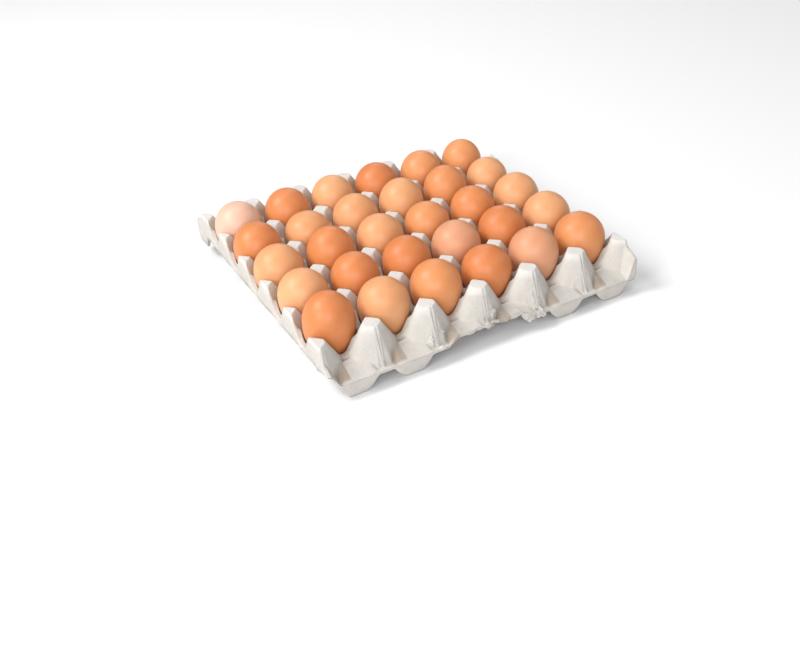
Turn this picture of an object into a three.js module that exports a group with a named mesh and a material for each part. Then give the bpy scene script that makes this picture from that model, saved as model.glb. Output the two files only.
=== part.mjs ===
// A moulded-pulp egg tray, five rows of six cups, full of brown eggs.
// Millimetres, +Z up. X runs along a row of six eggs and -Y is the front edge.
// The origin is the middle of the tray in plan, on the surface that it stands on.
// The tray is one sheet of pulp: a height over the plan for its upper face, and another for its lower face.

import * as THREE from 'three';
import { mergeVertices } from 'three/addons/utils/BufferGeometryUtils.js';

// --- The tray's plan ---------------------------------------------------------------------------------------
const PITCH = 50; // from one egg to the next, both ways
const COLUMNS = 6; // eggs along X
const ROWS = 5; // eggs along Y
const HALF_CELL = PITCH / 2;
const POSTS_X = (COLUMNS * PITCH) / 2; // the outermost posts, which the tray's sides cut in half
const POSTS_Y = (ROWS * PITCH) / 2; // the outermost posts at front and back, whole, with a skirt outside them
const SKIRT = 25; // from those posts out to the edge, so that the tray is square and stacks turned by 90 degrees

// --- Its posts, saddles and cups ---------------------------------------------------------------------------
const WALL = 2.2; // thickness of the pulp
const MOST_UPRIGHT = 3; // how many wall thicknesses the sheet may measure from above, where it is steep
const CAP_TOP = 47.3; // flat caps of the posts
const CORNER_CAP_TOP = 45;
const CAP_HALF = 7.3; // half a cap's width
const POST_SLOPE = 1.65; // fall of a ridge beside its post, height over run
const SADDLE_X = 23.6; // lowest point of a ridge that runs along X
const SADDLE_Y = 28.4; // lowest point of a ridge that runs along Y
const SADDLE_BLEND = 2; // how softly the ridge turns into its saddle
const CUP_FLOOR_RADIUS = 10.5;
const CUP_KNEE_RUN = 6.5; // the cup's wall is a power curve: this far out from its floor it is CUP_KNEE_RISE high
const CUP_KNEE_RISE = 9.8;
const CUP_POWER = 1.87;

// --- The skirts in front and behind ------------------------------------------------------------------------
const SHELF = 13.7; // height of the skirt's outer crease, and of the flat shelf at the foot of each post
const TROUGH_TOP = 22.8; // where the trough under a saddle begins
const TROUGH_FALL = 0.44; // its fall towards the crease, height over run
const TROUGH_FROM = 8; // from this far beside a post the shelf turns into the trough
const TROUGH_BLEND = 6;
const FACE_FALL = 4.3; // the posts' outer faces, height over run
const FLANK_FALL_X = 1.92; // the posts' outer flanks, height over run both ways
const FLANK_FALL_Y = 1.445;
const FLANK_FROM = 6;
const APRON = 2.3; // thickness of the upright lips that hang below the edges
const FOOT_HALF = 10; // half the width of an apron where it stands on the surface
const FOOT_TOP_HALF = 17.7; // half its width at the crease
const STEP = 0.5; // run of the apron's inner face, so that it has a little draft

// --- The sides and the corner webs -------------------------------------------------------------------------
const SIDE_APRON = 2.5;
const SIDE_EDGE = 22; // lower edge of the flat sides
const WEB_TOP = 44.5; // top of the web that closes each end of a skirt, where it leaves the corner post
const WEB_FALL = 0.4;
const LOW_WEB_TOP = 29; // the front left web is broken down
const LOW_WEB_FALL = 0.34;
const WEB_DRAFT = 3.2; // its inner face, height over run
const WEB_EDGE = 11.5; // its lower edge

// --- The damaged middle of the front edge ------------------------------------------------------------------
const DENT_LEFT = -44;
const DENT_RIGHT = 40;
const DENT_FADE = 12;
const DENT_IN = 4; // how far the crease is pushed in
const DENT_UP = 4.5; // and up
const TORN_FOOT = 10; // height of the torn lower edge, before it is pushed up

// --- The eggs ----------------------------------------------------------------------------------------------
const BELT = 41; // height of an egg's widest circle
const EGG_BELOW = 33; // from the widest circle down to the pointed end
const EGG_GAP = 0.3; // clearance from egg to pulp
const EGG_SIDES = 14;
const EGG_BANDS = 8;
const LEAN = 4; // degrees, of an egg that leans to one side
const LEAN_PIVOT = 11; // it turns about the circle where the cup holds it, this far below the widest one
const LEAN_SIDE = new THREE.Vector3(0.87, -0.49, 0); // the side that a lean to the right goes to
// Radius of each grade, and the height of the blunt end above the widest circle for each stature.
const GRADES = { s: 20.5, m: 21.3, l: 21.9, x: 22.3, g: 22.8 };
const STATURES = { b: 18.8, d: 20.7, n: 22.8, h: 25.4, t: 27 };
// One letter an egg, from left to right, the front row first. A lean is to the left, none or to the right.
const GRADE_ROWS = ['llxlxg', 'lmlxlx', 'xllmmx', 'lmllls', 'xlmlms'];
const STATURE_ROWS = ['tnndnn', 'nnnnnn', 'nhndnn', 'nbnhhd', 'nnnnnn'];
const LEAN_ROWS = ['...>..', '.<.>..', '<.....', '<....<', '.>.<>.'];
const LEANS = { '<': -LEAN, '.': 0, '>': LEAN };

// --- Colours -----------------------------------------------------------------------------------------------
const PULP = { color: 0xdcd5cd, roughness: 0.95, metalness: 0 };
// Deep, middling, light, pinkish and pale shells, one letter an egg as above.
const TONES = { d: 0xcf7440, m: 0xd98a58, l: 0xe3a278, k: 0xdda084, p: 0xeec3b0 };
const TONE_ROWS = ['dlmdkm', 'lddkdl', 'ldlmdl', 'dlllml', 'pdldmm'];
const SHELL_ROUGHNESS = 0.5;

const ramp = (value) => Math.min(1, Math.max(0, value));
const toLine = (value) => Math.abs(value - PITCH * Math.round(value / PITCH));

function softMax(a, b, blend) {
	return Math.max(a, b) + blend * Math.log(1 + Math.exp(-Math.abs(a - b) / blend));
}

// Height of a ridge at a distance from its post.
function ridge(distance, saddle) {
	const flank = CAP_TOP - POST_SLOPE * (distance - CAP_HALF);
	return Math.min(CAP_TOP, softMax(saddle, flank, SADDLE_BLEND));
}

// Height of the cup's wall at a radius from its middle.
function cup(radius) {
	const out = Math.max(0, radius - CUP_FLOOR_RADIUS) / CUP_KNEE_RUN;
	return WALL + CUP_KNEE_RISE * out ** CUP_POWER;
}

// Upper face among the cups.
function cupsTop(x, y) {
	const beside = toLine(x);
	const along = toLine(y - POSTS_Y);
	const wall = cup(Math.hypot(HALF_CELL - beside, HALF_CELL - along));
	return Math.min(ridge(beside, SADDLE_X), ridge(along, SADDLE_Y), wall);
}

// Upper face of a skirt, at a distance out from its posts.
function skirtTop(x, out) {
	const beside = toLine(x);
	const flank = CAP_TOP - FLANK_FALL_X * (beside - FLANK_FROM) - FLANK_FALL_Y * (out - FLANK_FROM);
	const face = CAP_TOP - FACE_FALL * (out - CAP_HALF);
	const post = Math.min(ridge(beside, SADDLE_X), flank, face);
	const open = ramp((beside - TROUGH_FROM) / TROUGH_BLEND);
	const trough = Math.min(TROUGH_TOP, SHELF + TROUGH_FALL * (SKIRT - out) * open);
	return Math.max(post, trough);
}

// The web that closes a skirt at the tray's corner.
function webTop(x, y, out) {
	const low = x < 0 && y < 0;
	const edge = low ? LOW_WEB_TOP - LOW_WEB_FALL * out : WEB_TOP - WEB_FALL * out;
	return edge - WEB_DRAFT * Math.max(0, POSTS_X - Math.abs(x) - SIDE_APRON);
}

function trayTop(x, y) {
	const out = Math.abs(y) - POSTS_Y;
	const corner = Math.abs(x) > POSTS_X - HALF_CELL && out > -HALF_CELL;
	let top = out > 0 ? skirtTop(x, out) : cupsTop(x, y);
	if (out > 0) top = Math.max(top, webTop(x, y, out));
	return corner ? Math.min(top, CORNER_CAP_TOP) : top;
}

// Lower edge of the apron that hangs from the crease.
function apronFoot(x, y) {
	const middle = HALF_CELL - toLine(x);
	const side = (middle - FOOT_HALF) / (FOOT_TOP_HALF - FOOT_HALF);
	const foot = (SHELF - APRON) * ramp(side);
	return y < 0 ? Math.max(foot, TORN_FOOT * dent(x)) : foot;
}

// Lower face: a wall's thickness under the upper one, square to it, and down to the edge in the aprons.
function trayUnder(x, y) {
	const out = Math.abs(y) - POSTS_Y;
	if (Math.abs(x) > POSTS_X - SIDE_APRON - STEP / 2) return out > 0 ? WEB_EDGE : SIDE_EDGE;
	if (out > SKIRT - APRON - STEP / 2) return apronFoot(x, y);
	const run = 2;
	const slopeX = (trayTop(x + run, y) - trayTop(x - run, y)) / (2 * run);
	const slopeY = (trayTop(x, y + run) - trayTop(x, y - run)) / (2 * run);
	const upright = Math.min(MOST_UPRIGHT, Math.hypot(1, slopeX, slopeY));
	return Math.max(0, trayTop(x, y) - WALL * upright);
}

// How far the front edge is damaged at x, from 0 to 1.
function dent(x) {
	return ramp((x - DENT_LEFT) / DENT_FADE) * ramp((DENT_RIGHT - x) / DENT_FADE);
}

// A point of the sheet, with the dent pushed into it.
function sheetPoint(x, y, z) {
	const reach = y < 0 ? dent(x) * ramp((-y - POSTS_Y - CAP_HALF) / (SKIRT - CAP_HALF)) : 0;
	return new THREE.Vector3(x, y + DENT_IN * reach, z + DENT_UP * reach);
}

// Where the grid's lines fall across half a cell, from its post: the cap's edge, and the edge of the cup's floor.
const CELL_STATIONS = [0, CAP_HALF, HALF_CELL - CUP_FLOOR_RADIUS, HALF_CELL];
const SKIRT_STATIONS = [3, CAP_HALF, 15, SKIRT - APRON - STEP, SKIRT - APRON, SKIRT];

function stations(extent, extra) {
	const lines = [];
	for (let post = -extent; post <= extent; post += PITCH) {
		for (const step of CELL_STATIONS) lines.push(post - step, post + step);
	}
	const all = lines.filter((line) => Math.abs(line) <= extent).concat(extra);
	return [...new Set(all.map((line) => Number(line.toFixed(3))))].sort((a, b) => a - b);
}

const SIDE_LINES = [SIDE_APRON, SIDE_APRON + STEP].flatMap((line) => [POSTS_X - line, line - POSTS_X]);
const SKIRT_LINES = SKIRT_STATIONS.flatMap((line) => [POSTS_Y + line, -POSTS_Y - line]);
const LINES_X = stations(POSTS_X, SIDE_LINES);
const LINES_Y = stations(POSTS_Y, SKIRT_LINES);

// Whether the fold across a grid square goes up to the right, so that it runs round the cup and not into it.
function foldsUp(i, j) {
	const x = (LINES_X[i] + LINES_X[i + 1]) / 2;
	const y = (LINES_Y[j] + LINES_Y[j + 1]) / 2;
	const cupX = HALF_CELL + PITCH * Math.floor(x / PITCH);
	const cupY = PITCH * Math.round(y / PITCH);
	return (x - cupX) * (y - cupY) < 0;
}

function trayGeometry() {
	const position = [];
	const index = [];
	const across = LINES_X.length;
	const deep = LINES_Y.length;
	for (const face of [trayTop, trayUnder]) {
		for (const y of LINES_Y) {
			for (const x of LINES_X) position.push(...sheetPoint(x, y, face(x, y)).toArray());
		}
	}
	const upper = (i, j) => j * across + i;
	const lower = (i, j) => upper(i, j) + across * deep;
	const quad = (a, b, c, d) => index.push(a, b, c, a, c, d);
	for (let j = 0; j < deep - 1; j++) {
		for (let i = 0; i < across - 1; i++) {
			const ring = [[i, j], [i + 1, j], [i + 1, j + 1], [i, j + 1]];
			if (!foldsUp(i, j)) ring.push(ring.shift());
			const [a, b, c, d] = ring;
			quad(...[a, b, c, d].map((corner) => upper(...corner)));
			quad(...[a, d, c, b].map((corner) => lower(...corner)));
		}
	}
	for (let i = 0; i < across - 1; i++) {
		quad(upper(i, 0), lower(i, 0), lower(i + 1, 0), upper(i + 1, 0));
		quad(upper(i + 1, deep - 1), lower(i + 1, deep - 1), lower(i, deep - 1), upper(i, deep - 1));
	}
	for (let j = 0; j < deep - 1; j++) {
		quad(upper(0, j + 1), lower(0, j + 1), lower(0, j), upper(0, j));
		quad(upper(across - 1, j), lower(across - 1, j), lower(across - 1, j + 1), upper(across - 1, j + 1));
	}
	const geometry = new THREE.BufferGeometry();
	geometry.setAttribute('position', new THREE.Float32BufferAttribute(position, 3));
	geometry.setIndex(index);
	return geometry;
}

// Height of the faceted sheet over a point of the plan, outside the dent.
function facetTop(x, y) {
	const i = Math.max(0, LINES_X.findIndex((line) => line > x) - 1);
	const j = Math.max(0, LINES_Y.findIndex((line) => line > y) - 1);
	const u = (x - LINES_X[i]) / (LINES_X[i + 1] - LINES_X[i]);
	const v = (y - LINES_Y[j]) / (LINES_Y[j + 1] - LINES_Y[j]);
	const at = (k, l) => trayTop(LINES_X[k], LINES_Y[l]);
	const [a, b, c, d] = [at(i, j), at(i + 1, j), at(i + 1, j + 1), at(i, j + 1)];
	if (foldsUp(i, j)) return u > v ? a + (b - a) * u + (c - b) * v : a + (c - d) * u + (d - a) * v;
	return u + v < 1 ? a + (b - a) * u + (d - a) * v : c + (d - c) * (1 - u) + (b - c) * (1 - v);
}

// An egg's outline from its pointed end to its blunt end, about its widest circle.
function eggOutline(radius, above, bands) {
	const points = [];
	for (let k = 0; k <= bands; k++) {
		const angle = Math.PI * (k / bands - 0.5);
		const reach = angle < 0 ? EGG_BELOW : above;
		points.push(new THREE.Vector2(radius * Math.cos(angle), reach * Math.sin(angle)));
	}
	points[0].x = 0;
	points[bands].x = 0;
	return points;
}

function eggGeometry(radius, above) {
	const lathe = new THREE.LatheGeometry(eggOutline(radius, above, EGG_BANDS), EGG_SIDES);
	lathe.rotateX(Math.PI / 2);
	lathe.deleteAttribute('normal');
	lathe.deleteAttribute('uv');
	return mergeVertices(lathe);
}

// How far an egg has to rise to clear its cup.
function rise(mesh, radius, above) {
	const outline = eggOutline(radius + EGG_GAP, above, 3 * EGG_BANDS);
	const sides = 3 * EGG_SIDES;
	let most = 0;
	for (const { x: reach, y: height } of outline) {
		for (let side = 0; side < sides; side++) {
			const turn = (2 * Math.PI * side) / sides;
			const point = new THREE.Vector3(reach * Math.cos(turn), reach * Math.sin(turn), height);
			point.applyMatrix4(mesh.matrix);
			most = Math.max(most, facetTop(point.x, point.y) - point.z);
		}
	}
	return most;
}

function makeEgg(column, row) {
	const radius = GRADES[GRADE_ROWS[row][column]];
	const above = STATURES[STATURE_ROWS[row][column]];
	const lean = THREE.MathUtils.degToRad(LEANS[LEAN_ROWS[row][column]]);
	const color = TONES[TONE_ROWS[row][column]];
	const material = new THREE.MeshStandardMaterial({ color, roughness: SHELL_ROUGHNESS, metalness: 0 });
	const mesh = new THREE.Mesh(eggGeometry(radius, above), material);
	mesh.name = `egg_${row + 1}_${column + 1}`;
	const axis = new THREE.Vector3(0, 0, 1).cross(LEAN_SIDE).normalize();
	mesh.quaternion.setFromAxisAngle(axis, lean);
	mesh.position.copy(LEAN_SIDE).multiplyScalar(LEAN_PIVOT * Math.sin(lean));
	mesh.position.x += (column - (COLUMNS - 1) / 2) * PITCH;
	mesh.position.y += (row - (ROWS - 1) / 2) * PITCH;
	mesh.position.z = BELT;
	mesh.updateMatrix();
	mesh.position.z += rise(mesh, radius, above);
	return mesh;
}

const group = new THREE.Group();

const tray = new THREE.Mesh(trayGeometry(), new THREE.MeshStandardMaterial(PULP));
tray.name = 'tray';
group.add(tray);

for (let row = 0; row < ROWS; row++) {
	for (let column = 0; column < COLUMNS; column++) group.add(makeEgg(column, row));
}

export default group;
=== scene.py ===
"""A square moulded-pulp egg tray, full of brown eggs.

The tray is pressed from one flat blank by a Geometry Nodes recipe that holds the shape of the mould. Two more
lay stray fibres and torn scraps on it, and a last one turns each egg.
Sizes are in millimetres, and in metres once they reach Blender.
"""

import math
import random

import bpy
from mathutils import Matrix, Vector


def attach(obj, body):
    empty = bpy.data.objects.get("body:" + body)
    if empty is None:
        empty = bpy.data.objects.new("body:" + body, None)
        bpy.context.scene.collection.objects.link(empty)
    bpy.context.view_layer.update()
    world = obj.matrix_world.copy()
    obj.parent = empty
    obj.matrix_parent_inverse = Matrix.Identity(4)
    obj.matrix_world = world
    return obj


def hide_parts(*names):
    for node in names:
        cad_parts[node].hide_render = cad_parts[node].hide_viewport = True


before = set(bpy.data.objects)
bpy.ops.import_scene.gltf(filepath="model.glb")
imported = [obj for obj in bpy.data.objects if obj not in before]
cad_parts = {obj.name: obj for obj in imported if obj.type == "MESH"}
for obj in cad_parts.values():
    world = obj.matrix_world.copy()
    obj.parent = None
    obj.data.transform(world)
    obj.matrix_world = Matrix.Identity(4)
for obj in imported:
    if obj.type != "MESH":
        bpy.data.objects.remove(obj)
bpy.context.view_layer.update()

MM = 0.001

# --- The tray's mould ---------------------------------------------------------------------------------------
PITCH = 50.0  # from one egg to the next, both ways
COLUMNS = 6
ROWS = 5
HALF_CELL = PITCH / 2
POSTS_X = COLUMNS * PITCH / 2  # the outermost posts, cut in half by the tray's sides
POSTS_Y = ROWS * PITCH / 2  # the outermost posts in front and behind, with a skirt outside them
SKIRT = 25.0
EDGE_Y = POSTS_Y + SKIRT

MOULD = {
    "Wall": 2.2,
    "Most upright": 3.0,
    "Cap top": 47.3,
    "Corner cap top": 45.0,
    "Cap half": 7.3,
    "Cap corner": 5.7,
    "Corner fall": 2.4,
    "Post slope": 1.65,
    "Saddle across": 21.7,
    "Saddle along": 28.4,
    "Cup floor": 10.5,
    "Cup run": 6.5,
    "Cup rise": 9.8,
    "Cup power": 1.87,
    "Shelf": 13.7,
    "Trough top": 20.6,
    "Trough fall": 0.44,
    "Face from": 9.0,
    "Face fall": 3.4,
    "Facet fall": 3.0,
    "Facet from": 8.4,
    "Flank fall across": 1.92,
    "Flank fall out": 1.445,
    "Flank from": 6.0,
    "Web top": 45.2,
    "Web fall": 0.46,
    "Broken web top": 36.2,
    "Broken web fall": 0.43,
}
CAP_UNEVEN = 1.2  # how much the caps differ in height
CAP_SINK = 0.6  # the share of that which goes downwards
CUT_ENDS = 12.0  # a cap's cut corners end this far from its post
CUT_LIFT = 3.0  # how steeply they leave the post there
SADDLE_BLEND = 6.0  # how softly a ridge turns into its saddle
EDGE_BLEND = 1.2  # how round the edges between the faces are
FOOT_BLEND = 4.0  # and between a post's right foot and the trough
TROUGH_LEFT = 4.0  # beside a post, where its flat foot turns into the trough
TROUGH_RIGHT = 9.0
TROUGH_BLEND = 6.0
TURN_BLEND = 6.0  # to either side of a post, where left turns into right
FACET_TURN = (0.6, 0.8)  # which way the facets beside a front face look, sideways and outwards
LEFT_LEAN = 0.35  # how the left edge of a front face moves to the right, outwards
# Where a seam starts at the cap, and its way to the right for each millimetre outwards.
SEAMS = ((-1.5, 0.1), (1.9, -0.12))
SEAM_HALF = 0.6
SEAM_HEIGHT = 1.1
WEB_DRAFT = 3.2  # how steeply the corners' webs fall inwards
BROKEN_WEB_DRAFT = 1.6
BROKEN_END = -141.0  # left of this the front edge has broken away under the web
BROKEN_LIP = 3.0  # what is left of the edge's height there
CREASE_BEAD = 1.1  # height of the bead along the front and back creases
CREASE_HALF = 0.8
CREASE_LIP = 1.4  # how far the aprons stand back under it
LIP_FROM = 0.3  # the share of an edge's height, from its top, over which they come to do so
# Under each dip of the edge, a pit and a ledge: the middle and the reach, from the dip's middle and outwards.
PIT_DEPTH = 4.2
PIT_ACROSS = (-1.5, 3.6)
PIT_OUT = (2.4, 1.1)
LEDGE_HEIGHT = 1.3
LEDGE_ACROSS = (1.0, 6.0)
LEDGE_OUT = (4.8, 1.2)
SIDE_APRON = 2.5  # thickness of the flat sides
SIDE_EDGE = 22.0  # their lower edge
WEB_EDGE = 11.5  # and that of the webs
BROKEN_WEB_EDGE = 19.0
BROKEN_WEB_RISE = 0.3  # how it rises outwards
SIDE_RAGGED = 3.4  # how uneven the lower edges are
WEB_RAGGED = 1.6
FOOT_RAGGED = 1.6
APRON = 2.3  # thickness of the lips below the creases
STEP = 0.5  # from an apron's or side's inner face to the next line of the blank
FOOT_HALF = 6.0  # half the width of an apron where it stands
FOOT_TOP_HALF = 17.7  # and at its crease
FOOT_POWER = 1.6  # how round it is between the two
TORN_LEFT = -48.0  # the aprons are torn off between these
TORN_RIGHT = 46.0
TORN_FADE = 3.0
TORN_FOOT = 10.0  # height of the torn lower edge
TORN_RAGGED = 8.0  # how uneven it is, in long and in short waves
TORN_JAGGED = 5.0
DENT_LEFT = -44.0  # the crushed middle of the front edge
DENT_RIGHT = 40.0
DENT_FADE = 12.0
DENT_IN = 4.0
DENT_UP = 4.5
CRUMPLE = 4.0  # how uneven the crushed middle is
WAVE = 1.6  # how the whole sheet waves up and down
WAVE_ASIDE = 0.4  # the share of that by which it waves sideways
WAVE_FROM = 10.0  # the height at which it waves fully
BULGE = 0.7  # of the edges between the two faces
LUMPS = 1.6  # depth of the large and small unevenness of the pulp
CLOTS = 0.9
SMOOTH_BELOW = 0.4  # lower than this it has neither
PULP_ROUGHNESS = 0.42
SLOPE_RUN = 1.2  # how far apart heights are compared for the slope
STRANDS_ABOVE = 6.0  # no strands lie lower
SCRAPS_FROM = 139.0  # scraps lie only further out and higher than this
SCRAPS_ABOVE = 12.0
PAINTED_LIGHT_FROM = 39.0  # above this the pulp is painted paler: painted light on the caps' tops
PAINTED_SHADE_TOP = 26.0  # below this it is painted browner: painted shade low down
PAINTED_SHADE_OUT = 20.0  # but not further out than this from the last posts, along the creases
PAINTED_SHADE_AND_LIGHT_BLEND = 3.0
TROUGH_PAINTED_SHADOW = (8.0, 20.5)  # in the skirts only here, to the right of each post: the post's painted shadow
# Where the front edge is torn: the middle along X, and how far to either side.
TORN_PLACES = ((-50.0, 8.0), (-1.0, 9.0), (45.0, 13.0))
WOBBLE_SEEDS = (31.0, 37.0, 41.0)  # of the scraps' crumpling, along X, Y and Z

# --- The eggs -----------------------------------------------------------------------------------------------
BELT = 41.0  # height of an egg's widest circle
EGG_BELOW = 33.0  # from there to the pointed end
LEAN = 4.0  # degrees
LEAN_PIVOT = 11.0  # below the widest circle, where the cup holds the egg
LEAN_SIDE = Vector((0.87, -0.49, 0.0))
GRADES = {"s": 20.5, "m": 21.3, "l": 21.9, "x": 22.3, "g": 22.8}  # radius
STATURES = {"b": 18.8, "d": 20.7, "n": 22.8, "h": 25.4, "t": 27.0}  # blunt end above the widest circle
LEANS = {"<": -LEAN, ".": 0.0, ">": LEAN}
# One letter an egg, from left to right, the front row first.
GRADE_ROWS = ["llxlxg", "lmlxlx", "xllmmx", "lmllls", "xlmlms"]
STATURE_ROWS = ["tnndnn", "nnnnnn", "nhndnn", "nbnhhd", "nnnnnn"]
LEAN_ROWS = ["...>..", ".<.>..", "<.....", "<....<", ".>.<>."]
TONE_ROWS = ["dlmdkm", "lddkdl", "ldlmdl", "dlllml", "pdldmm"]
SLOTS = {"d": "shell_deep", "m": "shell_mid", "l": "shell_light", "k": "shell_pink", "p": "shell_pale"}
EGG_UNEVEN = 0.03  # how far an egg is from round, as a share of its width
EGG_SEED = 11
SHADES = (0.0, 1.1)  # how much of its deeper colour an egg has, drawn between these
SHADE_SEED = 5


# --- Numbers worked out by nodes ----------------------------------------------------------------------------
class Value:
    """A number at every point of a mesh or surface, worked out by Math nodes."""

    def __init__(self, tree, socket):
        self.tree = tree
        self.socket = socket

    def math(self, operation, *others):
        node = self.tree.nodes.new("ShaderNodeMath")
        node.operation = operation
        for port, other in zip(node.inputs, (self, *others)):
            if isinstance(other, Value):
                self.tree.links.new(other.socket, port)
            else:
                port.default_value = other
        return Value(self.tree, node.outputs[0])

    def __add__(self, other):
        return self.math("ADD", other)

    def __sub__(self, other):
        return self.math("SUBTRACT", other)

    def __mul__(self, other):
        return self.math("MULTIPLY", other)

    def __truediv__(self, other):
        return self.math("DIVIDE", other)

    def __neg__(self):
        return self.math("MULTIPLY", -1.0)

    def __rsub__(self, other):
        return -self + other

    __radd__ = __add__
    __rmul__ = __mul__

    def over(self, other):
        """1 where this is greater than the other, else 0."""
        return self.math("GREATER_THAN", other)

    def ramp(self):
        """This, kept between 0 and 1, with a soft start and end."""
        kept = self.math("MAXIMUM", 0.0).math("MINIMUM", 1.0)
        return kept * kept * (3.0 - 2.0 * kept)

    def bump(self, middle, reach):
        """A soft hump of 1 at middle."""
        off = (self - middle) / reach
        return (-(off * off)).math("EXPONENT")

    def layer(self, start, gain, most=1.0):
        """How much of a layer shows: nothing up to start, then rising with the gain, up to the most."""
        return ((self - start) * gain).ramp() * most


def pick(which, one, zero):
    """one where which is 1, and zero where it is 0."""
    return zero + which * (one - zero)


def length_of(x, y):
    return (x * x + y * y).math("SQRT")


def new_recipe(name, numbers, gives, takes_mesh):
    """An empty Geometry Nodes tree with named number inputs, and the Value of each input."""
    tree = bpy.data.node_groups.new(name, "GeometryNodeTree")
    if takes_mesh:
        tree.interface.new_socket("Geometry", in_out="INPUT", socket_type="NodeSocketGeometry")
    for label, number in numbers.items():
        socket = tree.interface.new_socket(label, in_out="INPUT", socket_type="NodeSocketFloat")
        socket.default_value = number
    tree.interface.new_socket(gives, in_out="OUTPUT", socket_type=(
        "NodeSocketGeometry" if gives == "Geometry" else "NodeSocketFloat"))
    entry = tree.nodes.new("NodeGroupInput")
    values = {label: Value(tree, entry.outputs[label]) for label in numbers}
    return tree, entry, values


def give(tree, socket):
    end = tree.nodes.new("NodeGroupOutput")
    tree.links.new(socket, end.inputs[0])


def noise_of(tree, vector, scale, detail=2.0, seed=0.0):
    """A Value of smooth noise, from 0 to 1, in the vector's own unit."""
    node = tree.nodes.new("ShaderNodeTexNoise")
    node.noise_dimensions = "4D"
    node.inputs["Scale"].default_value = scale
    node.inputs["Detail"].default_value = detail
    node.inputs["W"].default_value = seed
    tree.links.new(vector, node.inputs["Vector"])
    return Value(tree, node.outputs[0])


def vector_of(tree, *parts):
    node = tree.nodes.new("ShaderNodeCombineXYZ")
    for port, part in zip(node.inputs, parts):
        if isinstance(part, Value):
            tree.links.new(part.socket, port)
        else:
            port.default_value = part
    return node.outputs[0]


def parts_of(tree, vector):
    node = tree.nodes.new("ShaderNodeSeparateXYZ")
    tree.links.new(vector, node.inputs[0])
    return [Value(tree, port) for port in node.outputs]


# --- The mould: height of the tray's upper face over its plan -----------------------------------------------
def ridge(distance, saddle, cap, size):
    """Height of a ridge at a distance from its post."""
    flank = cap - size["Post slope"] * (distance - size["Cap half"])
    return flank.math("SMOOTH_MAX", saddle, SADDLE_BLEND).math("SMOOTH_MIN", cap, EDGE_BLEND)


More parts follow.
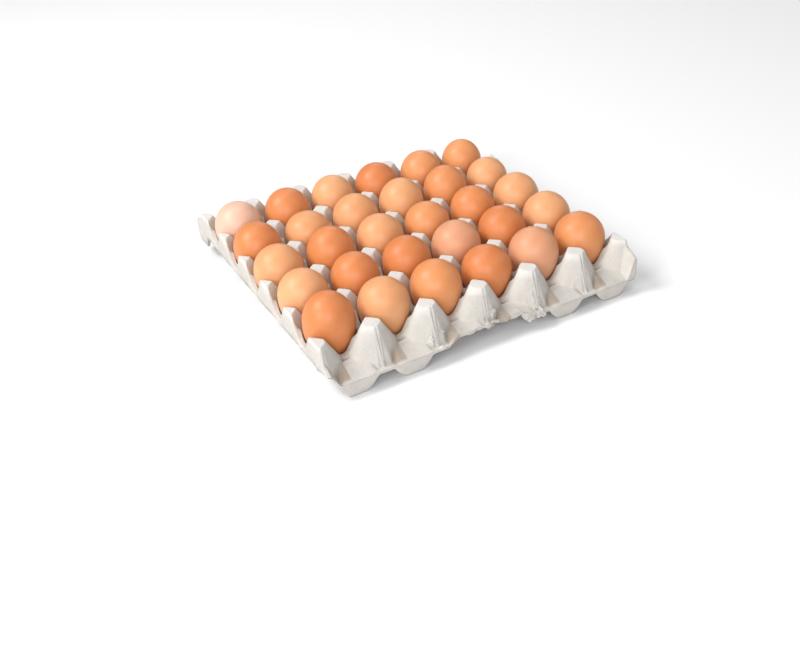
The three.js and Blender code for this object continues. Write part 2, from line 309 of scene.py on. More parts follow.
def make_mould():
    """A group that gives the height at X and Y."""
    tree, _, size = new_recipe("mould", {"X": 0.0, "Y": 0.0, **MOULD}, "Height", False)
    x, y = size["X"], size["Y"]
    side = x.math("WRAP", HALF_CELL, -HALF_CELL)
    beside = side.math("ABSOLUTE")
    along = (y + POSTS_Y).math("PINGPONG", HALF_CELL)
    out = y.math("ABSOLUTE") - POSTS_Y

    post_number = vector_of(tree, (x / PITCH).math("ROUND"), ((y + POSTS_Y) / PITCH).math("ROUND"), 0.0)
    uneven = tree.nodes.new("ShaderNodeTexWhiteNoise")
    tree.links.new(post_number, uneven.inputs["Vector"])
    cap = size["Cap top"] + (Value(tree, uneven.outputs["Value"]) - CAP_SINK) * CAP_UNEVEN

    # Among the cups.
    across = ridge(beside, size["Saddle across"], cap, size)
    lengthways = ridge(along, size["Saddle along"], cap, size)
    chamfer = cap - size["Corner fall"] * ((beside + along) * math.sqrt(0.5) - size["Cap corner"])
    radius = length_of(HALF_CELL - beside, HALF_CELL - along)
    beyond_floor = (radius - size["Cup floor"]).math("MAXIMUM", 0.0)
    climb = (beyond_floor / size["Cup run"]).math("POWER", size["Cup power"])
    wall = size["Wall"] + size["Cup rise"] * climb
    ridges = across.math("SMOOTH_MIN", lengthways, EDGE_BLEND)
    near_post = beside.math("MAXIMUM", along)
    chamfer = chamfer + (near_post - CUT_ENDS).math("MAXIMUM", 0.0) * CUT_LIFT
    posts = ridges.math("SMOOTH_MIN", chamfer, EDGE_BLEND)
    cups = posts.math("SMOOTH_MIN", wall, EDGE_BLEND)

    # The skirts: posts with two seams down their faces, and troughs between them.
    flank = cap - size["Flank fall across"] * (beside - size["Flank from"])
    flank = flank - size["Flank fall out"] * (out - size["Flank from"])
    off_ridge = beside.math("MAXIMUM", LEFT_LEAN * (out - size["Face from"]) - side)
    facet_way = FACET_TURN[0] * off_ridge + FACET_TURN[1] * out
    facet = cap - size["Facet fall"] * (facet_way - size["Facet from"])
    seams = 0.0
    for start, lean in SEAMS:
        seams = (side - lean * (out - size["Face from"])).bump(start, SEAM_HALF) * SEAM_HEIGHT + seams
    face = cap - size["Face fall"] * (out - size["Face from"] - seams)
    body = flank.math("SMOOTH_MIN", facet, EDGE_BLEND).math("SMOOTH_MIN", face, EDGE_BLEND)
    body = body.math("SMOOTH_MIN", across, EDGE_BLEND)
    rightness = ((side + TURN_BLEND) / (2 * TURN_BLEND)).ramp()
    trough_from = pick(rightness, TROUGH_RIGHT, TROUGH_LEFT)
    opening = ((beside - trough_from) / TROUGH_BLEND).ramp()
    trough = size["Shelf"] + size["Trough fall"] * (SKIRT - out) * opening
    trough = trough.math("SMOOTH_MIN", size["Trough top"], EDGE_BLEND)
    off_middle = (x + HALF_CELL).math("WRAP", HALF_CELL, -HALF_CELL)
    pit = off_middle.bump(*PIT_ACROSS) * out.bump(*PIT_OUT)
    ledge = off_middle.bump(*LEDGE_ACROSS) * out.bump(*LEDGE_OUT)
    skirt = body.math("SMOOTH_MAX", trough, pick(rightness, EDGE_BLEND, FOOT_BLEND))
    skirt = skirt + LEDGE_HEIGHT * ledge - PIT_DEPTH * pit
    skirt = skirt + CREASE_BEAD * out.bump(SKIRT, CREASE_HALF)

    # The webs at the corners.
    broken = x.math("LESS_THAN", 0.0) * y.math("LESS_THAN", 0.0)
    whole_web = size["Web top"] - size["Web fall"] * out
    broken_web = size["Broken web top"] - size["Broken web fall"] * out
    inside = (POSTS_X - SIDE_APRON - x.math("ABSOLUTE")).math("MAXIMUM", 0.0)
    web = pick(broken, broken_web - BROKEN_WEB_DRAFT * inside, whole_web - WEB_DRAFT * inside)
    skirt = skirt.math("SMOOTH_MAX", web, EDGE_BLEND)

    top = pick(out.over(0.0), skirt, cups)
    corner = x.math("ABSOLUTE").over(POSTS_X - HALF_CELL) * out.over(-HALF_CELL)
    give(tree, pick(corner, top.math("SMOOTH_MIN", size["Corner cap top"], EDGE_BLEND), top).socket)
    return tree


def height_at(tree, mould, sizes, x, y):
    node = tree.nodes.new("GeometryNodeGroup")
    node.node_tree = mould
    for label, value in {**sizes, "X": x, "Y": y}.items():
        tree.links.new(value.socket, node.inputs[label])
    return Value(tree, node.outputs[0])


def dent_at(x):
    """How far the front edge is crushed at x, from 0 to 1."""
    return ((x - DENT_LEFT) / DENT_FADE).ramp() * ((DENT_RIGHT - x) / DENT_FADE).ramp()


def make_press(pulp):
    """The tree that presses the blank into the tray."""
    mould = make_mould()
    extra = {"Torn foot": TORN_FOOT, "Dent in": DENT_IN, "Dent up": DENT_UP, "Roughness": PULP_ROUGHNESS}
    tree, entry, size = new_recipe("press", {**MOULD, **extra}, "Geometry", True)
    sizes = {label: size[label] for label in MOULD}
    position = tree.nodes.new("GeometryNodeInputPosition").outputs[0]
    x, y, _ = [part * (1 / MM) for part in parts_of(tree, position)]
    level_node = tree.nodes.new("GeometryNodeInputNamedAttribute")
    level_node.data_type = "FLOAT"
    level_node.inputs["Name"].default_value = "level"
    level = Value(tree, level_node.outputs["Attribute"])
    flat = vector_of(tree, x, y, 0.0)

    def at(x_there, y_there):
        return height_at(tree, mould, sizes, x_there, y_there)

    top = at(x, y)
    slope_x = (at(x + SLOPE_RUN, y) - at(x - SLOPE_RUN, y)) / (2 * SLOPE_RUN)
    slope_y = (at(x, y + SLOPE_RUN) - at(x, y - SLOPE_RUN)) / (2 * SLOPE_RUN)
    upright = (slope_x * slope_x + slope_y * slope_y + 1.0).math("SQRT").math("MINIMUM", size["Most upright"])
    under = (top - size["Wall"] * upright).math("MAXIMUM", 0.0)

    out = y.math("ABSOLUTE") - POSTS_Y
    front = y.math("LESS_THAN", 0.0)
    dent = dent_at(x) * front
    ragged = noise_of(tree, flat, scale=0.28, detail=3.0, seed=5.0) - 0.5
    middle = HALF_CELL - x.math("PINGPONG", HALF_CELL)
    rounded = ((middle - FOOT_HALF) / (FOOT_TOP_HALF - FOOT_HALF)).math("MAXIMUM", 0.0).math("MINIMUM", 1.0)
    foot = (size["Shelf"] - APRON) * rounded.math("POWER", FOOT_POWER) + ragged.math("ABSOLUTE") * FOOT_RAGGED
    torn = ((x - TORN_LEFT) / TORN_FADE).ramp() * ((TORN_RIGHT - x) / TORN_FADE).ramp() * front
    jagged = noise_of(tree, flat, scale=0.75, detail=2.0, seed=9.0) - 0.5
    foot = foot.math("MAXIMUM", torn * (size["Torn foot"] + TORN_RAGGED * ragged + TORN_JAGGED * jagged))
    broken = x.math("LESS_THAN", 0.0) * front
    foot = foot.math("MAXIMUM", broken * x.math("LESS_THAN", BROKEN_END) * (top - BROKEN_LIP))
    under = pick(out.over(SKIRT - APRON - STEP / 2), foot, under)
    web_foot = pick(broken, BROKEN_WEB_EDGE + BROKEN_WEB_RISE * out, WEB_EDGE)
    side_foot = pick(out.over(0.0), web_foot + WEB_RAGGED * ragged, SIDE_EDGE + SIDE_RAGGED * ragged)
    under = pick(x.math("ABSOLUTE").over(POSTS_X - SIDE_APRON - STEP / 2), side_foot, under)

    # The edges bulge a little between the two faces.
    bulge = (level * math.pi).math("SINE") * BULGE
    lip = ((1.0 - level) / LIP_FROM).ramp() * CREASE_LIP
    rim_x = x.math("ABSOLUTE").over(POSTS_X - 0.01) * x.math("SIGN")
    rim_y = y.math("ABSOLUTE").over(EDGE_Y - 0.01) * y.math("SIGN")
    reach = dent * ((out - size["Cap half"]) / (SKIRT - size["Cap half"])).ramp()
    crumple = reach * CRUMPLE * (noise_of(tree, flat, scale=0.16, detail=3.0, seed=8.0) - 0.5)
    wave = (noise_of(tree, flat, scale=0.012, detail=1.0, seed=2.0) - 0.5) * WAVE
    lifted = level * top + (1.0 - level) * under
    lifted = lifted + wave * (lifted / WAVE_FROM).ramp() + reach * size["Dent up"] + crumple
    shaped = vector_of(
        tree,
        (x + rim_x * bulge + wave * WAVE_ASIDE) * MM,
        (y + rim_y * (bulge - lip) + reach * size["Dent in"] + crumple) * MM,
        lifted.math("MAXIMUM", 0.0) * MM,
    )
    press = tree.nodes.new("GeometryNodeSetPosition")
    tree.links.new(entry.outputs["Geometry"], press.inputs["Geometry"])
    tree.links.new(shaped, press.inputs["Position"])

    # The wet pulp settles unevenly on the mould.
    lumps = noise_of(tree, position, scale=0.11 / MM, detail=5.0, seed=1.0) - 0.5
    clots = noise_of(tree, position, scale=0.35 / MM, detail=3.0, seed=4.0) - 0.5
    depth = (lumps * LUMPS + clots * CLOTS) * size["Roughness"] * MM
    clear = (lifted - SMOOTH_BELOW).ramp()
    normal = tree.nodes.new("GeometryNodeInputNormal").outputs[0]
    push = tree.nodes.new("ShaderNodeVectorMath")
    push.operation = "SCALE"
    tree.links.new(normal, push.inputs[0])
    tree.links.new((depth * clear).socket, push.inputs["Scale"])
    settle = tree.nodes.new("GeometryNodeSetPosition")
    tree.links.new(press.outputs[0], settle.inputs["Geometry"])
    tree.links.new(push.outputs[0], settle.inputs["Offset"])
    finish_mesh(tree, settle.outputs[0], pulp)
    return tree


def finish_mesh(tree, socket, material):
    """Ends a tree: real geometry, smooth faces and its material."""
    realize = tree.nodes.new("GeometryNodeRealizeInstances")
    tree.links.new(socket, realize.inputs[0])
    shade = tree.nodes.new("GeometryNodeSetShadeSmooth")
    shade.inputs["Shade Smooth"].default_value = True
    tree.links.new(realize.outputs[0], shade.inputs[0])
    paint = tree.nodes.new("GeometryNodeSetMaterial")
    paint.inputs["Material"].default_value = material
    tree.links.new(shade.outputs[0], paint.inputs[0])
    give(tree, paint.outputs[0])


def run_recipe(piece, tree, settings=None):
    """Runs a tree on a piece and keeps the plain mesh that it gives."""
    modifier = piece.modifiers.new("recipe", "NODES")
    modifier.node_group = tree
    sockets = {item.name: item.identifier for item in tree.interface.items_tree if item.in_out == "INPUT"}
    for label, number in (settings or {}).items():
        modifier[sockets[label]] = number
    graph = bpy.context.evaluated_depsgraph_get()
    mesh = bpy.data.meshes.new_from_object(piece.evaluated_get(graph), depsgraph=graph)
    piece.modifiers.remove(modifier)
    piece.data = mesh
    return piece


def new_piece(name, mesh):
    piece = bpy.data.objects.new(name, mesh)
    bpy.context.scene.collection.objects.link(piece)
    return piece


def place(piece, slot, *nodes):
    """Says what a piece rides on and stands for. The slot, what it is made of, is not used."""
    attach(piece, "root")
    if nodes:
        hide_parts(*nodes)


# --- The blank ----------------------------------------------------------------------------------------------
NEAR_ACROSS = 9.0  # finer lines this close to a post
STEPS_ACROSS = (7, 6)  # near the post, and from there to the middle of the cell
NEAR_ALONG = 6.0
STEPS_ALONG = (3, 6)
SKIRT_STEPS = 15
BACK_SKIRT_STEPS = 7
RIM_STEPS = 6


def even(start, end, steps):
    return [start + (end - start) * step / steps for step in range(steps + 1)]


def half_cell_lines(near, steps):
    return even(0.0, near, steps[0]) + even(near, HALF_CELL, steps[1])


def coarse_lines(extent, extra, near, steps):
    """The lines over the cups, finer near the posts, and the extra ones outside them."""
    lines = set(extra)
    post = -extent
    while post <= extent:
        for step in half_cell_lines(near, steps):
            lines.update((post - step, post + step))
        post += PITCH
    return sorted({round(line, 4) for line in lines if abs(line) <= extent or line in extra})


def halved(lines):
    """The lines with one more half way between each two."""
    fine = [lines[0]]
    for before, after in zip(lines, lines[1:]):
        fine += [(before + after) / 2, after]
    return fine


def make_blank():
    """A flat closed sheet with an upper face, a coarser lower face and rows of faces round its rim."""
    both = (-1, 1)
    sides = [sign * (POSTS_X - inset) for sign in both for inset in (SIDE_APRON, SIDE_APRON + STEP)]
    aprons = [sign * (EDGE_Y - inset) for sign in both for inset in (0.0, APRON, APRON + STEP)]
    front = [-line for line in even(POSTS_Y, EDGE_Y - APRON - STEP, SKIRT_STEPS)]
    back = even(POSTS_Y, EDGE_Y - APRON - STEP, BACK_SKIRT_STEPS)
    coarse_x = coarse_lines(POSTS_X, sides, NEAR_ACROSS, STEPS_ACROSS)
    coarse_y = coarse_lines(POSTS_Y, aprons + front + back, NEAR_ALONG, STEPS_ALONG)
    fine_x, fine_y = halved(coarse_x), halved(coarse_y)
    wide, deep = len(fine_x), len(fine_y)
    points = [(x, y) for y in fine_y for x in fine_x]
    levels = [1.0] * len(points)

    def top(i, j):
        return j * wide + i

    faces = [
        (top(i, j), top(i + 1, j), top(i + 1, j + 1), top(i, j + 1))
        for j in range(deep - 1)
        for i in range(wide - 1)
    ]

    def loop(across, down):
        """Grid places round the edge, anticlockwise from the front left corner."""
        return (
            [(i, 0) for i in range(across - 1)]
            + [(across - 1, j) for j in range(down - 1)]
            + [(i, down - 1) for i in range(across - 1, 0, -1)]
            + [(0, j) for j in range(down - 1, 0, -1)]
        )

    around = loop(wide, deep)
    rows = [[top(i, j) for i, j in around]]
    for step in range(1, RIM_STEPS):
        rows.append([len(points) + k for k in range(len(around))])
        points += [(fine_x[i], fine_y[j]) for i, j in around]
        levels += [1.0 - step / RIM_STEPS] * len(around)
    for upper, lower in zip(rows, rows[1:]):
        for k in range(len(around)):
            after = (k + 1) % len(around)
            faces.append((upper[k], lower[k], lower[after], upper[after]))

    start = len(points)
    across, down = len(coarse_x), len(coarse_y)
    points += [(x, y) for y in coarse_y for x in coarse_x]
    levels += [0.0] * (across * down)

    def under(i, j):
        return start + j * across + i

    faces += [
        (under(i, j), under(i, j + 1), under(i + 1, j + 1), under(i + 1, j))
        for j in range(down - 1)
        for i in range(across - 1)
    ]
    last = rows[-1]
    edge = [under(i, j) for i, j in loop(across, down)]
    for k, here in enumerate(edge):
        after = edge[(k + 1) % len(edge)]
        faces.append((last[2 * k], here, after, last[(2 * k + 2) % len(last)], last[2 * k + 1]))

    mesh = bpy.data.meshes.new("blank")
    mesh.from_pydata([(x * MM, y * MM, 0.0) for x, y in points], [], faces)
    attribute = mesh.attributes.new("level", "FLOAT", "POINT")
    attribute.data.foreach_set("value", levels)
    return mesh


# --- Materials ----------------------------------------------------------------------------------------------
PULP_LIGHT = (0.58, 0.55, 0.51)
PULP_DARK = (0.46, 0.425, 0.38)
# colour of the painted shade low down and of the posts' painted shadows
PULP_PAINTED_SHADE = (0.385, 0.31, 0.245)
# colour of the painted light on the caps' tops
PULP_PAINTED_LIGHT = (0.69, 0.665, 0.635)
PULP_FIBRE = (0.36, 0.32, 0.275)
PULP_FLECK = (0.16, 0.13, 0.11)
SHELL_COLOURS = {  # body colour, and the deeper colour of its mottling
    "d": ((0.68, 0.248, 0.088), (0.58, 0.185, 0.058)),
    "m": ((0.72, 0.305, 0.122), (0.63, 0.235, 0.085)),
    "l": ((0.735, 0.37, 0.178), (0.665, 0.29, 0.122)),
    "k": ((0.69, 0.345, 0.20), (0.62, 0.275, 0.145)),
    "p": ((0.77, 0.50, 0.38), (0.71, 0.42, 0.30)),
}
CROWN_SHARE = 0.2  # how much deeper the blunt end is
DEEPENED_SHARE = 0.5
SHELL_SCATTER = (0.004, 0.0018, 0.0009)


def new_material(name):
    material = bpy.data.materials.new(name)
    material.use_nodes = True
    tree = material.node_tree
    shader = tree.nodes["Principled BSDF"]
    place_node = tree.nodes.new("ShaderNodeTexCoord")
    return material, tree, shader, place_node.outputs["Object"]


def mix_colours(tree, share, first, second):
    """A colour between two, each a colour or a socket; share is a Value or a number."""
    node = tree.nodes.new("ShaderNodeMix")
    node.data_type = "RGBA"
    for port, given in ((node.inputs[0], share), (node.inputs[6], first), (node.inputs[7], second)):
        if isinstance(given, Value):
            tree.links.new(given.socket, port)
        elif isinstance(given, bpy.types.NodeSocket):
            tree.links.new(given, port)
        elif isinstance(given, tuple):
            port.default_value = (*given, 1.0)
        else:
            port.default_value = given
    return node.outputs[2]


def darker(colour, share):
    return tuple(part * share for part in colour)


def set_bump(tree, shader, height, strength, distance):
    bump = tree.nodes.new("ShaderNodeBump")
    bump.inputs["Strength"].default_value = strength
    bump.inputs["Distance"].default_value = distance
    tree.links.new(height.socket, bump.inputs["Height"])
    tree.links.new(bump.outputs[0], shader.inputs["Normal"])


def make_pulp():
    """Light warm grey recycled pulp: cloudy, fibrous and matt, with painted shade low down and painted light
    on the caps.
    """
    material, tree, shader, place_on = new_material("moulded pulp")
    clouds = noise_of(tree, place_on, scale=90.0, detail=4.0, seed=1.0)
    fibres = noise_of(tree, place_on, scale=700.0, detail=6.0, seed=2.0)
    grit = noise_of(tree, place_on, scale=2200.0, detail=3.0, seed=3.0)
    flecks = noise_of(tree, place_on, scale=420.0, detail=2.0, seed=7.0)
    across, depth, height = [part * (1 / MM) for part in parts_of(tree, place_on)]
    out = depth.math("ABSOLUTE") - POSTS_Y
    # Painted shade: browner low down in the cups, and in the skirts a painted shadow of each post on the
    # trough to its right.
    on_edge = ((out - PAINTED_SHADE_OUT) / PAINTED_SHADE_AND_LIGHT_BLEND).ramp()
    low = ((PAINTED_SHADE_TOP - height) / (PAINTED_SHADE_AND_LIGHT_BLEND * 3)).ramp() * (1.0 - on_edge)
    side = across.math("WRAP", PITCH, 0.0)
    post_shadow_band = (side - TROUGH_PAINTED_SHADOW[0]).ramp() * (TROUGH_PAINTED_SHADOW[1] - side).ramp()
    painted_shade = pick(out.over(PAINTED_SHADE_AND_LIGHT_BLEND), post_shadow_band * (0.6 + 0.5 * clouds), 0.35 + 0.5 * clouds)
    colour = mix_colours(tree, clouds.layer(0.35, 1.6, 0.6), PULP_LIGHT, PULP_DARK)
    colour = mix_colours(tree, low * painted_shade, colour, PULP_PAINTED_SHADE)
    # Painted light: the caps' tops are painted paler, where the light falls most.
    high = ((height - PAINTED_LIGHT_FROM) / (PAINTED_SHADE_AND_LIGHT_BLEND * 2)).ramp()
    colour = mix_colours(tree, high * 0.7, colour, PULP_PAINTED_LIGHT)
    colour = mix_colours(tree, fibres.layer(0.5, 3.0, 0.25), colour, PULP_FIBRE)
    colour = mix_colours(tree, flecks.layer(0.735, 18.0, 0.5), colour, PULP_FLECK)
    tree.links.new(colour, shader.inputs["Base Color"])
    shader.inputs["Roughness"].default_value = 0.92
    shader.inputs["Specular IOR Level"].default_value = 0.25
    set_bump(tree, shader, fibres * 0.8 + clouds * 0.6 + grit * 0.35, strength=0.9, distance=0.8 * MM)
    return material


def make_shell(tone):
    """Satin eggshell with faint mottling, pores, specks and a slightly deeper blunt end."""
    material, tree, shader, place_on = new_material("eggshell " + SLOTS[tone].removeprefix("shell_"))
    body, deeper = SHELL_COLOURS[tone]
    crown_node = tree.nodes.new("ShaderNodeAttribute")
    crown_node.attribute_name = "crown"
    crown = Value(tree, crown_node.outputs["Fac"])
    clouds = noise_of(tree, place_on, scale=70.0, detail=3.0, seed=3.0)
    pores = noise_of(tree, place_on, scale=1500.0, detail=2.0, seed=5.0)
    deepened = tree.nodes.new("ShaderNodeAttribute")
    deepened.attribute_name = "deepened"
    share = clouds.layer(0.3, 1.3, 0.5) + crown * CROWN_SHARE
    share = share + Value(tree, deepened.outputs["Fac"]) * DEEPENED_SHARE
    share = share.math("MAXIMUM", 0.0).math("MINIMUM", 1.0)
    colour = mix_colours(tree, share, body, deeper)
    colour = mix_colours(tree, pores.layer(0.6, 5.0, 0.18), colour, darker(deeper, 0.6))
    specks = noise_of(tree, place_on, scale=260.0, detail=1.0, seed=12.0)
    colour = mix_colours(tree, specks.layer(0.79, 30.0, 0.7), colour, darker(deeper, 0.35))
    tree.links.new(colour, shader.inputs["Base Color"])
    shader.inputs["Roughness"].default_value = 0.42
    shader.inputs["Specular IOR Level"].default_value = 0.4
    shader.inputs["Subsurface Weight"].default_value = 0.12
    shader.inputs["Subsurface Radius"].default_value = SHELL_SCATTER
    shader.inputs["Subsurface Scale"].default_value = 1.0
    grain = noise_of(tree, place_on, scale=900.0, detail=3.0, seed=9.0)
    set_bump(tree, shader, grain, strength=0.12, distance=0.2 * MM)
    return material


def make_plain(name, colour, roughness):
    material, tree, shader, place_on = new_material(name)
    grain = noise_of(tree, place_on, scale=800.0, detail=2.0, seed=6.0)
    shade = mix_colours(tree, grain * 0.3, colour, darker(colour, 0.8))
    tree.links.new(shade, shader.inputs["Base Color"])
    shader.inputs["Roughness"].default_value = roughness
    return material


# --- The tray -----------------------------------------------------------------------------------------------
def make_tray(pulp):
    tray = new_piece("pulp_tray", make_blank())
    run_recipe(tray, make_press(pulp), {"Roughness": PULP_ROUGHNESS})
    tray.data.attributes.remove(tray.data.attributes["level"])
    place(tray, "pulp", "tray")
    return tray


def make_strands_recipe(pulp):
    """A tree that lays short bowed strands on a surface."""
    numbers = {"Strands per m2": 9000.0, "Length": 4.2, "Thickness": 0.17, "Bow": 0.9, "Seed": 4.0}
    tree, entry, size = new_recipe("strands", numbers, "Geometry", True)
    scatter = tree.nodes.new("GeometryNodeDistributePointsOnFaces")
    tree.links.new(entry.outputs["Geometry"], scatter.inputs["Mesh"])
    height = parts_of(tree, tree.nodes.new("GeometryNodeInputPosition").outputs[0])[2]
    density = size["Strands per m2"] * height.over(STRANDS_ABOVE * MM)
    tree.links.new(density.socket, scatter.inputs["Density"])
    tree.links.new(size["Seed"].socket, scatter.inputs["Seed"])
    bow = tree.nodes.new("GeometryNodeCurveQuadraticBezier")
    bow.inputs["Resolution"].default_value = 4
    half = size["Length"] * (MM / 2)
    tree.links.new(vector_of(tree, -half, 0.0, 0.0), bow.inputs["Start"])
    tree.links.new(vector_of(tree, 0.0, size["Bow"] * (2 * MM), 0.0), bow.inputs["Middle"])
    tree.links.new(vector_of(tree, half, 0.0, 0.0), bow.inputs["End"])
    ring = tree.nodes.new("GeometryNodeCurvePrimitiveCircle")
    ring.inputs["Resolution"].default_value = 3
    tree.links.new((size["Thickness"] * (MM / 2)).socket, ring.inputs["Radius"])
    tube = tree.nodes.new("GeometryNodeCurveToMesh")
    tube.inputs["Fill Caps"].default_value = True
    tree.links.new(bow.outputs[0], tube.inputs["Curve"])
    tree.links.new(ring.outputs[0], tube.inputs["Profile Curve"])
    laid = lay_on(tree, scatter, tube.outputs[0], size["Seed"], (0.5, 1.3))
    finish_mesh(tree, laid, pulp)
    return tree


def random_between(tree, low, high, seed, draw):
    """A Value drawn for each point; draw tells one such Value from another."""
    node = tree.nodes.new("FunctionNodeRandomValue")
    node.data_type = "FLOAT"
    node.inputs[2].default_value = low
    node.inputs[3].default_value = high
    tree.links.new((seed + float(draw)).socket, node.inputs["Seed"])
    return Value(tree, node.outputs[1])


def lay_on(tree, scatter, shape, seed, scales):
    """Puts a copy of the shape at each point, flat on the face and turned and sized at random."""
    lay = tree.nodes.new("GeometryNodeInstanceOnPoints")
    tree.links.new(scatter.outputs["Points"], lay.inputs["Points"])
    tree.links.new(scatter.outputs["Rotation"], lay.inputs["Rotation"])
    tree.links.new(shape, lay.inputs["Instance"])
    scale = random_between(tree, *scales, seed, 11)
    tree.links.new(vector_of(tree, scale, scale, scale), lay.inputs["Scale"])
    spin = tree.nodes.new("GeometryNodeRotateInstances")
    spin.inputs["Local Space"].default_value = True
    tree.links.new(lay.outputs[0], spin.inputs["Instances"])
    turn = random_between(tree, 0.0, 2 * math.pi, seed, 23)
    tree.links.new(vector_of(tree, 0.0, 0.0, turn), spin.inputs["Rotation"])
    return spin.outputs[0]


def make_scraps_recipe(pulp):
    """A tree that lays small torn scraps along the torn places of the front edge."""
    numbers = {
        "Scraps per m2": 26000.0, "Length": 8.5, "Width": 5.0, "Thickness": 1.4, "Crumple": 5.0, "Seed": 8.0,
    }
    tree, entry, size = new_recipe("scraps", numbers, "Geometry", True)
    position = tree.nodes.new("GeometryNodeInputPosition").outputs[0]
    x, y, z = [part * (1 / MM) for part in parts_of(tree, position)]
    near = 0.0  # 1 within any of the torn places
    for middle, half in TORN_PLACES:
        near = (half - (x - middle).math("ABSOLUTE")).over(0.0) + near
    near = near * y.math("LESS_THAN", -SCRAPS_FROM) * z.over(SCRAPS_ABOVE)
    scatter = tree.nodes.new("GeometryNodeDistributePointsOnFaces")
    tree.links.new(entry.outputs["Geometry"], scatter.inputs["Mesh"])
    tree.links.new((size["Scraps per m2"] * near).socket, scatter.inputs["Density"])
    tree.links.new(size["Seed"].socket, scatter.inputs["Seed"])
    lump = tree.nodes.new("GeometryNodeMeshIcoSphere")
    lump.inputs["Radius"].default_value = MM / 2
    lump.inputs["Subdivisions"].default_value = 3
    flatten = tree.nodes.new("GeometryNodeTransform")
    tree.links.new(lump.outputs[0], flatten.inputs["Geometry"])
    flat_size = vector_of(tree, size["Length"], size["Width"], size["Thickness"])
    tree.links.new(flat_size, flatten.inputs["Scale"])
    laid = lay_on(tree, scatter, flatten.outputs[0], size["Seed"], (0.6, 1.4))
    whole = tree.nodes.new("GeometryNodeRealizeInstances")
    tree.links.new(laid, whole.inputs[0])
    where = tree.nodes.new("GeometryNodeInputPosition").outputs[0]
    wobble = [
        (noise_of(tree, where, scale=0.33 / MM, detail=3.0, seed=seed) - 0.5) * size["Crumple"] * MM
        for seed in WOBBLE_SEEDS
    ]
    tear = tree.nodes.new("GeometryNodeSetPosition")
    tree.links.new(whole.outputs[0], tear.inputs["Geometry"])
    tree.links.new(vector_of(tree, *wobble), tear.inputs["Offset"])
    finish_mesh(tree, tear.outputs[0], pulp)
    return tree


def make_loose_pulp(tray, pulp):
    """The stray fibres and torn scraps, on the faces of the finished tray."""
    for name, recipe in (("pulp_strands", make_strands_recipe), ("pulp_scraps", make_scraps_recipe)):
        piece = new_piece(name, tray.data.copy())
        run_recipe(piece, recipe(pulp))
        place(piece, "pulp")


# --- Turning the eggs ---------------------------------------------------------------------------------------
def make_egg_recipe():
    """A tree that makes an egg about its widest circle, leans it and puts it in its cup."""
    numbers = {
        "Radius": 21.9, "Above": 22.8, "Below": EGG_BELOW, "Lean": 0.0, "Seed": 0.0,
        "Place X": 0.0, "Place Y": 0.0, "Place Z": BELT, "Deepened": 0.0,
    }
    tree, _, size = new_recipe("hen's egg", numbers, "Geometry", False)
    sphere = tree.nodes.new("GeometryNodeMeshUVSphere")
    sphere.inputs["Segments"].default_value = 72
    sphere.inputs["Rings"].default_value = 44
    sphere.inputs["Radius"].default_value = 1.0
    position = tree.nodes.new("GeometryNodeInputPosition").outputs[0]
    x, y, z = parts_of(tree, position)
    crown = tree.nodes.new("GeometryNodeStoreNamedAttribute")
    crown.data_type = "FLOAT"
    crown.inputs["Name"].default_value = "crown"
    tree.links.new(sphere.outputs["Mesh"], crown.inputs["Geometry"])
    tree.links.new(z.ramp().socket, crown.inputs["Value"])
    deepened = tree.nodes.new("GeometryNodeStoreNamedAttribute")
    deepened.data_type = "FLOAT"
    deepened.inputs["Name"].default_value = "deepened"
    tree.links.new(crown.outputs[0], deepened.inputs["Geometry"])
    tree.links.new(size["Deepened"].socket, deepened.inputs["Value"])

    up = z.over(0.0)
    tall = pick(up, size["Above"], size["Below"])
    lumpy = noise_of(tree, vector_of(tree, x + size["Seed"], y, z), scale=0.9, detail=1.0, seed=0.5) - 0.5
    wide = size["Radius"] * (1.0 + lumpy * EGG_UNEVEN)
    turn = size["Lean"] * (math.pi / 180)
    egg_x, egg_y, egg_z = x * wide, y * wide, z * tall
    # Lean: turn in the upright plane through the leaning side, about the ring where the cup holds the egg.
    reach = egg_x * LEAN_SIDE.x + egg_y * LEAN_SIDE.y
    height = egg_z + LEAN_PIVOT
    moved = reach * (turn.math("COSINE") - 1.0) + height * turn.math("SINE")
    raised = height * turn.math("COSINE") - reach * turn.math("SINE") - LEAN_PIVOT
    leaning = vector_of(
        tree,
        (egg_x + moved * LEAN_SIDE.x + size["Place X"]) * MM,
        (egg_y + moved * LEAN_SIDE.y + size["Place Y"]) * MM,
        (raised + size["Place Z"]) * MM,
    )
    shape = tree.nodes.new("GeometryNodeSetPosition")
    tree.links.new(deepened.outputs[0], shape.inputs["Geometry"])
    tree.links.new(leaning, shape.inputs["Position"])
    finish_mesh(tree, shape.outputs[0], None)
    return tree


def make_eggs():
    recipe = make_egg_recipe()
    shells = {tone: make_shell(tone) for tone in SLOTS}
    draw = random.Random(EGG_SEED)
    shade_draw = random.Random(SHADE_SEED)
    for row in range(ROWS):
        for column in range(COLUMNS):
            tone = TONE_ROWS[row][column]
            egg = new_piece(f"hen_egg_{row + 1}_{column + 1}", bpy.data.meshes.new("egg"))
            run_recipe(egg, recipe, {
                "Radius": GRADES[GRADE_ROWS[row][column]],
                "Above": STATURES[STATURE_ROWS[row][column]],
                "Lean": LEANS[LEAN_ROWS[row][column]],
                "Seed": draw.uniform(0.0, 40.0),
                "Place X": (column - (COLUMNS - 1) / 2) * PITCH,
                "Place Y": (row - (ROWS - 1) / 2) * PITCH,
                "Place Z": BELT,
                "Deepened": shade_draw.uniform(*SHADES),
            })
            egg.data.materials.clear()
            egg.data.materials.append(shells[tone])
            place(egg, SLOTS[tone], f"egg_{row + 1}_{column + 1}")


# --- The studio ---------------------------------------------------------------------------------------------
CAMERA_AZIMUTH = -27.485
CAMERA_ELEVATION = 29.994
CAMERA_ROLL = -3.422
CAMERA_DISTANCE = 0.92328
CAMERA_TARGET = Vector((-0.0156, -0.0281, 0.030))
CAMERA_LENS = 45.94
CAMERA_SHIFT = (-0.0059, -0.0933)

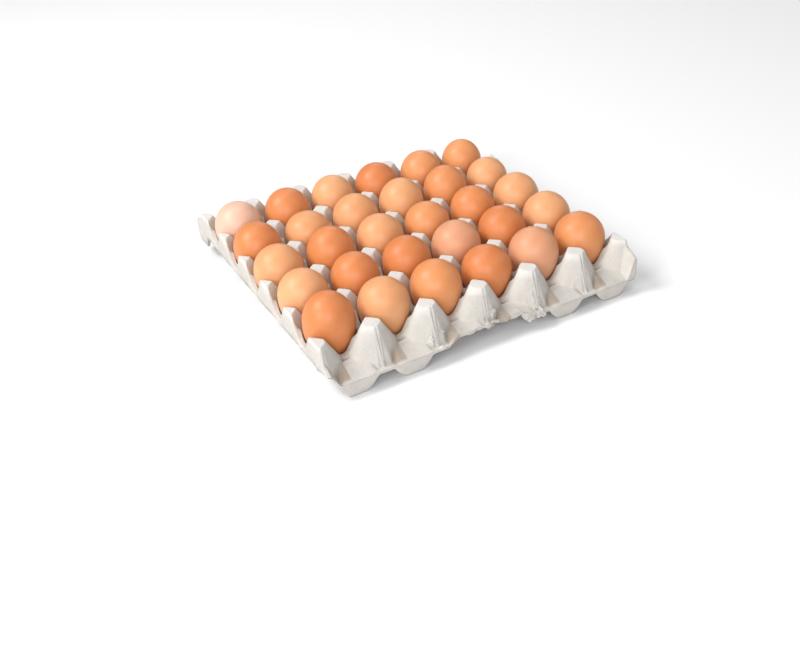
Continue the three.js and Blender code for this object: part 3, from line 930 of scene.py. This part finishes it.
LAMP_DISTANCE = 2.5
LAMPS = [  # name, azimuth, elevation, watts and size
    ("key", -110.0, 50.0, 45.0, 1.2),
    ("left_fill", -66.0, 28.0, 23.0, 1.0),
    ("front_fill", -26.0, 28.0, 28.0, 1.2),
    ("top", 180.0, 72.0, 12.0, 1.2),
    ("back_fill", 150.0, 28.0, 8.0, 1.2),
    ("right_fill", 90.0, 28.0, 6.0, 1.2),
    ("right_top", 50.0, 55.0, 5.0, 1.2),
]
WORLD_STRENGTH = 0.12
FLOOR_REACH = 6.0
FLOOR_COLOUR = (0.88, 0.88, 0.89)


def towards(azimuth, elevation):
    """The direction from the object to a place: azimuth is 0 in front and 90 to the right."""
    a, e = math.radians(azimuth), math.radians(elevation)
    return Vector((math.sin(a) * math.cos(e), -math.cos(a) * math.cos(e), math.sin(e)))


def facing(back):
    """The turn of a camera or lamp that looks against this direction."""
    return (-back).to_track_quat("-Z", "Y").to_matrix().to_4x4()


def make_camera():
    data = bpy.data.cameras.new("camera")
    data.lens = CAMERA_LENS
    data.sensor_width = 36.0
    data.shift_x, data.shift_y = CAMERA_SHIFT
    data.clip_start, data.clip_end = 0.05, 50.0
    camera = new_piece("camera", data)
    back = towards(CAMERA_AZIMUTH, CAMERA_ELEVATION)
    roll = Matrix.Rotation(math.radians(CAMERA_ROLL), 4, "Z")
    camera.matrix_world = Matrix.Translation(CAMERA_TARGET + back * CAMERA_DISTANCE) @ facing(back) @ roll
    bpy.context.scene.camera = camera


def make_light(name, azimuth, elevation, power, size):
    data = bpy.data.lights.new(name, "AREA")
    data.shape = "DISK"
    data.size = size
    data.energy = power
    light = new_piece(name, data)
    back = towards(azimuth, elevation)
    light.matrix_world = Matrix.Translation(back * LAMP_DISTANCE) @ facing(back)


def make_studio():
    scene = bpy.context.scene
    scene.view_settings.view_transform = "Standard"
    world = bpy.data.worlds.new("studio")
    world.use_nodes = True
    background = world.node_tree.nodes["Background"]
    background.inputs["Color"].default_value = (1.0, 1.0, 1.0, 1.0)
    background.inputs["Strength"].default_value = WORLD_STRENGTH
    scene.world = world
    for lamp in LAMPS:
        make_light(*lamp)

    mesh = bpy.data.meshes.new("floor")
    corners = [(x * FLOOR_REACH, y * FLOOR_REACH, 0) for x, y in ((-1, -1), (1, -1), (1, 1), (-1, 1))]
    mesh.from_pydata(corners, [], [(0, 1, 2, 3)])
    mesh.materials.append(make_plain("pale floor", FLOOR_COLOUR, 0.8))
    new_piece("floor", mesh)


make_camera()
make_studio()
sheet_pulp = make_pulp()
pulp_tray = make_tray(sheet_pulp)
make_loose_pulp(pulp_tray, sheet_pulp)
make_eggs()
